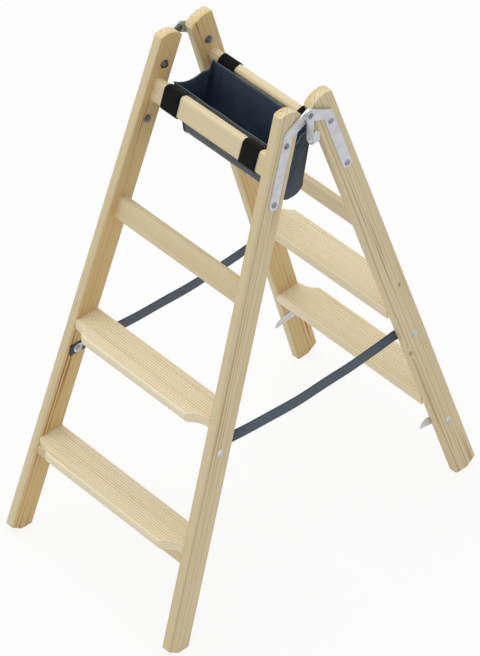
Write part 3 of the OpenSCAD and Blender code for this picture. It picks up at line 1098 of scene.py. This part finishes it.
@dataclass
class SafetyStrap:
    """One webbing strap between the stiles of one side."""

    shape: TrestleShape
    side: Side
    sag: float
    webbing: Material
    thread: Material
    bolt: float = 0.716
    width: float = 0.0265
    thick: float = 0.0015
    tail: float = 0.019
    free: float = 0.008
    gap: float = 0.0003
    flutter: float = 0.0012
    waves: Point2 = (31, 11)
    loose_reach: float = 0.2
    fold_end: tuple[float, float, float] = (0.2, 0.222, 0.42)
    stitch: Stitch = Stitch(0.0022, 0.0017, 0.00022)
    stitch_rise: float = 0.0004
    steps: int = 120
    columns: int = 8

    def _held(self, w: float) -> tuple[Vector, float]:
        """Where the stile's middle line lies, and how far out the strap leaves the stile.

        Args:
            w: The place along the stile.

        Returns:
            The place on the middle line and the distance.
        """
        centre = self.shape.inner + self.shape.depth / 2
        edge = self.shape.point(Ladder.FRONT, w, self.shape.inner, 0)
        return self.shape.point(Ladder.FRONT, w, centre, 0), -edge.y - self.free

    def _path(self) -> list[Point2]:
        """The strap's middle line seen from the side, as y and z.

        Returns:
            The line's points.
        """
        hold, span = self._held(-self.bolt - self.shape.board * math.sin(math.atan(self.shape.splay)))
        reach = -hold.y + self.tail
        line: list[Point2] = []
        for i in range(self.steps + 1):
            y = -reach + 2 * reach * i / self.steps
            drop = 0.0 if abs(y) > span else self.sag * ((y / span) ** 2 - 1)
            line.append((y, hold.z + drop))
        return line

    def _grid(self, line: list[Point2]) -> Grid:
        """The strap's points, row by row along it.

        Args:
            line: Its middle line.

        Returns:
            The rows.
        """
        tilt = self.shape.splay * math.cos(self.shape.lean)
        fast, slow = self.waves
        grid: Grid = []
        for i, (y, z) in enumerate(line):
            before, after = line[max(0, i - 1)], line[min(len(line) - 1, i + 1)]
            slope = Vector((0, after[0] - before[0], after[1] - before[1])).normalized()
            up = Vector((0, -slope.z, slope.y))
            row = []
            for j in range(self.columns + 1):
                point = Vector((0, y, z)) + up * self.width * (j / self.columns - 0.5)
                point.x = self._face(y) - (point.z - line[0][1]) * tilt - self.gap
                point.x -= self.flutter * math.sin(y * fast) * math.cos(y * slow) * self._loose(y)
                point.x *= self.side.value
                row.append(point)
            grid.append(row)
        return grid

    def build(self) -> None:
        """Builds the strap and its stitches."""
        name = f"webbing_{self.side.tag}"
        line = self._path()
        lengths = running(line)
        grid = self._grid(line)
        made = sheet_mesh(name, grid, lambda i, j: (lengths[i], (j / self.columns - 0.5) * self.width))
        made.data.materials.append(self.webbing)
        self._inward(made)
        thicken(made, self.thick, 1.0)
        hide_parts(f"strap_{self.side.tag}")
        self._fold_with(made)
        self._stitches(grid)
        log.info("built %s, %.0f mm long", name, lengths[-1] * 1000)

    def _face(self, y: float) -> float:
        """Where the strap lies across: on the stiles' faces at its ends, straight between them.

        Args:
            y: The place along the strap.

        Returns:
            The distance from the middle.
        """
        hold, edge = self._held(-self.bolt)
        slope = self.shape.splay * math.sin(self.shape.lean)
        return self.shape.inner_face(-self.bolt) + slope * (max(abs(y), edge) + hold.y)

    def _loose(self, y: float) -> float:
        """How free the strap is at a place: 0 on the stiles, 1 in the middle."""
        return max(0.0, 1 - (abs(y) / self.loose_reach) ** 2)

    def _inward(self, made: Object) -> None:
        """Turns the sheet's faces towards the ladder's middle, where its thickness grows.

        Args:
            made: The strap.
        """
        total = sum((face.normal.x * face.area for face in made.data.polygons), 0.0)
        if total * self.side.value > 0:
            made.data.flip_normals()

    def _fold_with(self, made: Object) -> None:
        """Bakes a piece's placement into its mesh.

        Args:
            made: The piece.
        """
        x, y, z = self.fold_end
        x *= self.side.value
        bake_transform(made)

    def _stitches(self, grid: Grid) -> Object:
        """Sews the folded edge at each end of the strap.

        Args:
            grid: The strap's points.

        Returns:
            The stitches.
        """
        inward = Vector((-self.side.value, 0, 0)) * (self.thick + self.stitch_rise)
        lines = [[point + inward for point in grid[i][1:-1]] for i in (1, 2, -3, -2)]
        made = stitch_tree(self.stitch).grow(f"webbing_stitches_{self.side.tag}", lines, self.thread)
        self._fold_with(made)
        return made


class Wall(Enum):
    """A side of the bag, by its outward direction."""

    FRONT = (0, -1)
    RIGHT = (1, 0)
    REAR = (0, 1)
    LEFT = (-1, 0)


@dataclass(frozen=True)
class Crease:
    """How slack hollows one end of the bag: a crease that runs down it, and an even dip."""

    start: float
    drift: float
    depth: float
    power: float
    dip: float
    width: float = 0.16

    def hollow(self, place: float, depth: float) -> float:
        """How far the end stands in, by the place across it and the share of the way down."""
        crease = math.exp(-(((place - self.start + self.drift * depth) / self.width) ** 2))
        return self.depth * crease * (1 - depth) ** self.power + self.dip * (1 - place * place) * (1 - depth)


@dataclass(frozen=True)
class BagMaterials:
    """What the bag is made of."""

    outside: Material
    inside: Material
    piping: Material
    binding: Material
    thread: Material
    tape: Material


@dataclass
class ToolBag:
    """The fabric trough between the two top slats, with its edging, seams and loops."""

    shape: TrestleShape
    materials: BagMaterials
    half_length: float = 0.1379
    rim: float = 0.051
    rim_z: float = 1.01768
    floor_z: float = 0.87268
    foot: float = 0.003
    round: float = 0.026
    end_round: float = 0.001
    sag_right: float = 0.025
    sag_left: float = 0.014
    left_skew: float = 0.25
    wall: float = 0.0014
    edging: float = 0.0014
    belly: float = 0.0016
    tuck: float = 0.0022
    tuck_place: float = 0.797
    soft: tuple[Point2, Point2] = ((22, 0.0022), (48, 0.0008))
    tuck_width: float = 0.10
    tuck_waves: float = 42
    rim_wave: float = 0.0008
    rim_drop: float = 0.0016
    rim_inset: float = 0.0006
    sag_fade: float = 1.3
    turn_rise: float = 0.0034
    turn_share: float = 0.985
    floor_inset: float = 0.002
    floor_rise: float = 0.0006
    piping_rise: float = 0.0012
    binding_inset: float = 0.0006
    stitch: Stitch = Stitch(0.0034, 0.0024, 0.00026)
    stitch_rise: float = 0.0003
    squash_gap: float = 0.0046
    squash_keep: float = 0.35
    right_crease: Crease = Crease(0.62, 0.9, 0.0055, 0.5, 0.003)
    left_crease: Crease = Crease(-0.62, 0.0, 0.0065, 0.7, 0.0035)
    long_steps: int = 84
    short_steps: int = 36
    wall_rows: int = 34
    round_rows: int = 9
    floor_rows: int = 4
    grid: Grid = field(init=False)

    def __post_init__(self) -> None:
        """Lays out the bag's points."""
        self.grid = self._grid()

    def _sides(self) -> list[tuple[Wall, float]]:
        """The columns round the bag: the side each is on, and its place there from -1 to 1.

        Returns:
            The columns.
        """
        spots: list[tuple[Wall, float]] = []
        for wall in Wall:
            count = self.long_steps if wall in (Wall.FRONT, Wall.REAR) else self.short_steps
            spots += [(wall, -1 + 2 * i / count) for i in range(count)]
        return spots

    def _rows(self) -> list[tuple[float, float, float, float]]:
        """The rows down the bag: depth share, half length, half width and height.

        Returns:
            The rows.
        """
        rows: list[tuple[float, float, float, float]] = []
        top_z, low_z = self.rim_z - self.rim_drop, self.floor_z + self.round + self.turn_rise
        top_y, low_y = self.rim - self.rim_inset, self.foot + self.round * self.turn_share
        for i in range(self.wall_rows + 1):
            share = i / self.wall_rows
            y = top_y + (low_y - top_y) * share
            rows.append((share, self.half_length, y, top_z + (low_z - top_z) * share))
        for i in range(1, self.round_rows + 1):
            angle = math.radians(10 + 80 * i / self.round_rows)
            inset = self.end_round * (1 - math.cos(angle)) ** 2
            y = self.foot + self.round * math.cos(angle)
            z = self.floor_z + self.round - self.round * math.sin(angle)
            rows.append((1.0, self.half_length - inset, y, z))
        for i in range(1, self.floor_rows + 1):
            share = i / self.floor_rows
            half = self.half_length - self.end_round - self.floor_inset * share
            rows.append((1.0, half, self.foot * (1 - share), self.floor_z + self.floor_rise * share))
        return rows

    def _sagged(self, wall: Wall, place: float) -> float:
        """How far the rim hangs at a place round the bag.

        Args:
            wall: The side of the bag.
            place: The place on it from -1 to 1.

        Returns:
            The drop.
        """
        bow = 1 - place * place
        if wall is Wall.RIGHT:
            return self.sag_right * bow
        if wall is Wall.LEFT:
            return self.sag_left * (bow * (1 + self.left_skew * place))
        return self.rim_wave * (1 - math.cos(math.pi * place * 3)) * bow

    def _fold(self, wall: Wall, place: float, depth: float, point: Vector) -> float:
        """How far the cloth stands out at a place, from its slack and its folds.

        Args:
            wall: The side of the bag.
            place: The place on it from -1 to 1.
            depth: The share of the way down, from 0 to 1.
            point: The place in the row frame.

        Returns:
            The distance, outward positive.
        """
        soft = sum(noise.noise(point * scale) * size for scale, size in self.soft)
        if wall is Wall.RIGHT:
            belly = -self.right_crease.hollow(place, depth)
        elif wall is Wall.LEFT:
            belly = -self.left_crease.hollow(place, depth)
        else:
            hold = math.sin(math.pi * depth) if depth < 1 else 0.0
            belly = -self.belly * hold * (1 - place * place)
            for spot in (-self.tuck_place, self.tuck_place):
                near = math.exp(-(((place - spot) / self.tuck_width) ** 2))
                wave = math.sin((place - spot) * self.tuck_waves)
                belly += self.tuck * near * wave * hold * (1 - depth)
        edge = min(1.0, (1 - abs(place)) * 14)
        free = 1.0 if depth < 1 else 0.35
        return belly * edge + soft * min(1.0, depth * 6) * (0.4 + 0.6 * edge) * free

    def _grid(self) -> Grid:
        """The bag's points, row by row from the rim down.

        Returns:
            The rows.
        """
        grid: Grid = []
        for depth, half, width, z in self._rows():
            slack = 1.0 if width > 0 else 0.0
            row: list[Vector] = []
            for wall, place in self._sides():
                x, y = wall.value
                point = Vector((half * (x - place * y), width * (y + place * x), z))
                point += Vector((x, y, 0)) * self._fold(wall, place, depth, point) * slack
                point.z -= self._sagged(wall, place) * (1 - depth) ** self.sag_fade
                row.append(point)
            grid.append(row)
        return grid

    def build(self) -> None:
        """Builds the bag and everything sewn to it."""
        round_rim, down = self._uv_lines()
        made = sheet_mesh("tool_bag_cloth", self.grid, lambda i, j: (round_rim[j], down[i]), closed=True)
        made.data.materials.append(self.materials.outside)
        made.data.materials.append(self.materials.inside)
        turn_out(made, join=0.00002)
        lowest = min(made.data.polygons, key=lambda face: face.center.z)
        if lowest.normal.z > 0:
            made.data.flip_normals()
        thicken(made, self.wall, -1.0, inner=1)
        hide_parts("tool_bag")
        self._ride(made)
        self._edging()
        self._binding()
        self._seams()
        for ladder in Ladder:
            for side in Side:
                BagLoop(self.shape, self, ladder, side).build()

    def _uv_lines(self) -> tuple[list[float], list[float]]:
        """Lengths round the rim and down the wall, for the UV map."""
        middle = self.long_steps // 2
        return running(self.grid[0] + self.grid[0][:1]), running([row[middle] for row in self.grid])

    def _ride(self, made: Object) -> None:
        """Lets a piece of the bag move with the front ladder, on a mesh of its own.

        Args:
            made: The piece.
        """
        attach(made, "front_ladder")
        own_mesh(made)

    def _edging(self) -> Object:
        """Lays the piping round the rim.

        Returns:
            The piping.
        """
        line = [point + Vector((0, 0, self.piping_rise)) for point in self.grid[0]]
        tree = piping_tree(self.edging)
        made = tree.grow("tool_bag_piping", [line], self.materials.piping, ring=True)
        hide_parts("bag_rim")
        self._ride(made)
        log.info("laid the piping")
        return made

    def _corners(self) -> list[int]:
        """The columns at the bag's four upright corners."""
        ends = self.long_steps + self.short_steps
        return [0, self.long_steps, ends, ends + self.long_steps]

    def _binding(self) -> Object:
        """Binds the seam that runs down, under and up again round each end.

        Returns:
            The binding.
        """
        left_front, right_front, right_rear, left_rear = self._corners()
        bound = self.grid[1 : -self.floor_rows]
        lines: list[list[Vector]] = []
        for first, last, x in ((right_front, right_rear, -1), (left_front, left_rear, 1)):
            seam = [row[first] for row in bound] + [row[last] for row in reversed(bound)]
            inset = Vector((self.binding_inset * x, 0, 0))
            lines.append([point + inset for point in seam])
        made = piping_tree(self.edging).grow("tool_bag_binding", lines, self.materials.binding)
        self._ride(made)
        return made

    def _seams(self) -> Object:
        """Sews the folded edge below the rim and the corner seams, outside and inside.

        Returns:
            The stitches.
        """
        columns = len(self.grid[0])
        lines: list[list[Vector]] = []
        for out in (self.stitch_rise, -self.wall - self.stitch_rise):
            for row in (2, 3):
                ring = [self._proud(row, j, out) for j in range(columns)]
                lines.append(ring + [ring[0]])
            for corner in self._corners():
                for beside in (-1, 1):
                    column = (corner + beside) % columns
                    lines.append([self._proud(i, column, out) for i in range(4, self.wall_rows)])
        made = stitch_tree(self.stitch).grow("tool_bag_stitches", lines, self.materials.thread)
        self._ride(made)
        log.info("sewed the bag")
        return made

    def _proud(self, i: int, j: int, out: float) -> Vector:
        """A point of the bag moved out along its own normal.

        Args:
            i: The point's row.
            j: The point's column.
            out: How far it moves.

        Returns:
            The point.
        """
        grid = self.grid
        across = grid[i][(j + 1) % len(grid[i])] - grid[i][j - 1]
        down = grid[i + 1][j] - grid[i - 1][j]
        return grid[i][j] + down.cross(across).normalized() * out


@dataclass
class BagLoop:
    """One loop of tape that holds the bag to a top slat."""

    shape: TrestleShape
    bag: ToolBag
    ladder: Ladder
    side: Side
    middle: float = 0.110
    width: float = 0.044
    thick: float = 0.0022
    clear: float = 0.0003
    slat_top: float = 0.0935
    slat_height: float = 0.048
    slat_thick: float = 0.0205
    slat_round: float = 0.007
    rim_gap: float = 0.0012
    rim_drop: float = 0.014
    tail_out: float = 0.0028
    tail_round: float = 0.0006
    columns: int = 12
    points: int = 96
    ring_points: int = 32

    def _outline(self) -> list[Point2]:
        """The loop's inner face as a closed line of n and w, at even steps.

        Returns:
            The line's points.
        """
        near = self.shape.inner + self.shape.depth / 2 - self.slat_thick / 2
        inset = self.slat_round
        points: list[Point2] = []
        for n in (near + inset, near + self.slat_thick - inset):
            for w in (-self.slat_top - inset, -self.slat_top - self.slat_height + inset):
                points += self._ring(n, w, inset + self.clear)
        y = -self.bag.rim - self.rim_gap
        z = self.bag.rim_z - self.rim_drop - self.shape.pivot
        lean = self.shape.lean
        spot_n = -(y * math.cos(lean) - z * math.sin(lean)) + self.tail_out
        spot_w = y * math.sin(lean) + z * math.cos(lean)
        points += self._ring(spot_n, spot_w, self.tail_round)
        return self._even(self._hull(points))

    def _ring(self, n: float, w: float, radius: float) -> list[Point2]:
        """Points of a circle."""
        turns = [2 * math.pi * i / self.ring_points for i in range(self.ring_points)]
        return [(n + radius * math.cos(a), w + radius * math.sin(a)) for a in turns]

    def _hull(self, points: list[Point2]) -> list[Point2]:
        """The convex outline of points, in turning order.

        Args:
            points: The points.

        Returns:
            The outline.
        """
        ordered = sorted(set(points))
        outline: list[Point2] = []
        for chain in (ordered, ordered[::-1]):
            part: list[Point2] = []
            for p in chain:
                while len(part) > 1 and self._turn(part[-2], part[-1], p) <= 0:
                    part.pop()
                part.append(p)
            outline += part[:-1]
        return outline

    def _turn(self, a: Point2, b: Point2, c: Point2) -> float:
        """Above 0 where the way from a over b to c turns left."""
        return (b[0] - a[0]) * (c[1] - a[1]) - (b[1] - a[1]) * (c[0] - a[0])

    def _even(self, outline: list[Point2]) -> list[Point2]:
        """Spreads points evenly along a closed line.

        Args:
            outline: The line's corners.

        Returns:
            The points.
        """
        ends = outline[1:] + outline[:1]
        steps = [math.dist(a, b) for a, b in zip(outline, ends)]
        total = sum(steps)
        found: list[Point2] = []
        for i in range(self.points):
            left = total * i / self.points
            for a, b, step in zip(outline, ends, steps):
                if left <= step:
                    share = left / step
                    found.append((a[0] + (b[0] - a[0]) * share, a[1] + (b[1] - a[1]) * share))
                    break
                left -= step
        return found

    def build(self) -> None:
        """Builds the loop."""
        outline = self._outline()
        length = running(outline + outline[:1])[-1]
        shares = [j / self.columns - 0.5 for j in range(self.columns + 1)]
        grid: Grid = []
        for share in shares:
            x = self.side.value * self.middle + share * self.width
            grid.append([self.shape.point(self.ladder, w, n, x) for n, w in outline])
        name = f"bag_tape_{self.ladder.tag}_{self.side.tag}"
        pitch = length / len(outline)
        made = sheet_mesh(name, grid, lambda i, j: (pitch * j, shares[i] * self.width), closed=True)
        made.data.materials.append(self.bag.materials.tape)
        turn_out(made)
        self._outward(made)
        thicken(made, self.thick, 1.0)
        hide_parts(f"{self.ladder.tag}_loop_{self.side.tag}")
        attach(made, self.ladder.body)
        log.info("built %s", name)

    def _outward(self, made: Object) -> None:
        """Turns the loop's faces away from the slat.

        Args:
            made: The loop.
        """
        faces = made.data.polygons
        centre = sum((face.center for face in faces), Vector()) / len(faces)
        facing = sum(face.normal.dot(face.center - centre) * face.area for face in faces)
        if facing < 0:
            made.data.flip_normals()


@dataclass
class Studio:
    """The pale floor, the soft lights and the camera."""

    spot: tuple[float, float, float] = (4.7421, -4.3334, 6.0853)
    pitch: float = 48.76
    yaw: float = 47.62
    lens: float = 237.03
    key: float = 52.0
    sky: float = 0.70
    lamp: tuple[float, float, float] = (-0.9, -0.1, 3.8)
    lamp_size: float = 3.2
    aim: tuple[float, float, float] = (0.0, 0.0, 0.6)
    floor_half: float = 30.0
    floor_z: float = -0.0002
    floor_glow: float = 0.85

    def build(self) -> None:
        """Builds the studio."""
        self._camera()
        self._floor()
        self._lights()
        bpy.context.scene.view_settings.view_transform = "Standard"
        log.info("built the studio")

    def _camera(self) -> None:
        """Places the camera at the photograph's viewing angle."""
        data = bpy.data.cameras.new("Camera")
        data.lens = self.lens
        data.sensor_width = 36.0
        data.clip_end = 60.0
        camera = bpy.data.objects.new("Camera", data)
        camera.location = self.spot
        camera.rotation_euler = (math.radians(self.pitch), 0.0, math.radians(self.yaw))
        bpy.context.scene.collection.objects.link(camera)
        bpy.context.scene.camera = camera

    def _floor(self) -> None:
        """Lays the floor."""
        paint = Surface("pale_floor")
        paint.finish((0.93, 0.93, 0.93), 0.9, Specular_IOR_Level=0.0)
        view = paint.node("ShaderNodeLightPath")
        seen = paint.node("ShaderNodeEmission", None, {"Color": (1, 1, 1), "Strength": 1.0})
        share = Val(paint, view.outputs["Is Camera Ray"]) * self.floor_glow
        inputs = {0: share, 1: paint.shader.outputs[0], 2: seen.outputs[0]}
        shown = paint.node("ShaderNodeMixShader", None, inputs)
        output = paint.tree.nodes["Material Output"]
        paint.feed(output.inputs["Surface"], shown.outputs[0])
        half = self.floor_half
        spots = ((-half, -half), (half, -half), (half, half), (-half, half))
        corners = [Vector((x, y, self.floor_z)) for x, y in spots]
        floor = clean_mesh("floor", corners, [(0, 1, 2, 3)])
        floor.data.materials.append(paint.material)

    def _lights(self) -> None:
        """Hangs one broad lamp and fills with an even sky."""
        world = bpy.data.worlds.new("Sky")
        world.use_nodes = True
        bpy.context.scene.world = world
        tree = TreeKit(world.node_tree)
        view = tree.node("ShaderNodeLightPath")
        plain = Val(tree, view.outputs["Is Camera Ray"]).most(Val(tree, view.outputs["Is Glossy Ray"]))
        shown = plain.most(Val(tree, view.outputs["Is Transmission Ray"]))
        background = world.node_tree.nodes["Background"]
        background.inputs["Color"].default_value = (1.0, 1.0, 1.0, 1.0)
        tree.feed(background.inputs["Strength"], shown * (1.0 - self.sky) + self.sky)
        data = bpy.data.lights.new("Key", "AREA")
        data.shape = "SQUARE"
        data.size = self.lamp_size
        data.energy = self.key
        lamp = bpy.data.objects.new("Key", data)
        lamp.location = self.lamp
        way = Vector(self.aim) - lamp.location
        lamp.rotation_euler = way.to_track_quat("-Z", "Y").to_euler()
        bpy.context.scene.collection.objects.link(lamp)


def main() -> None:
    """Builds the scene piece by piece."""
    shape = TrestleShape()
    Studio().build()
    WoodWork(shape).dress()
    MetalWork().dress()
    webbing = WebbingFinish().dress("webbing")
    thread = ThreadFinish(srgb(84, 94, 104)).dress("thread")
    for side, sag in ((Side.RIGHT, 0.013), (Side.LEFT, 0.015)):
        SafetyStrap(shape, side, sag, webbing, thread).build()
    materials = BagMaterials(
        outside=BagCloth(srgb(50, 66, 80), srgb(37, 50, 63), 0.36, 0.42).dress("bag_outside"),
        inside=BagCloth(srgb(64, 80, 97), srgb(47, 61, 76), 0.55).dress("bag_inside"),
        piping=ThreadFinish(srgb(80, 94, 107), 0.42).dress("piping"),
        binding=ThreadFinish(srgb(30, 37, 46), 0.55).dress("binding"),
        thread=thread,
        tape=FuzzyTape().dress("loop_tape"),
    )
    ToolBag(shape, materials).build()


if __name__ == "__main__":
    main()
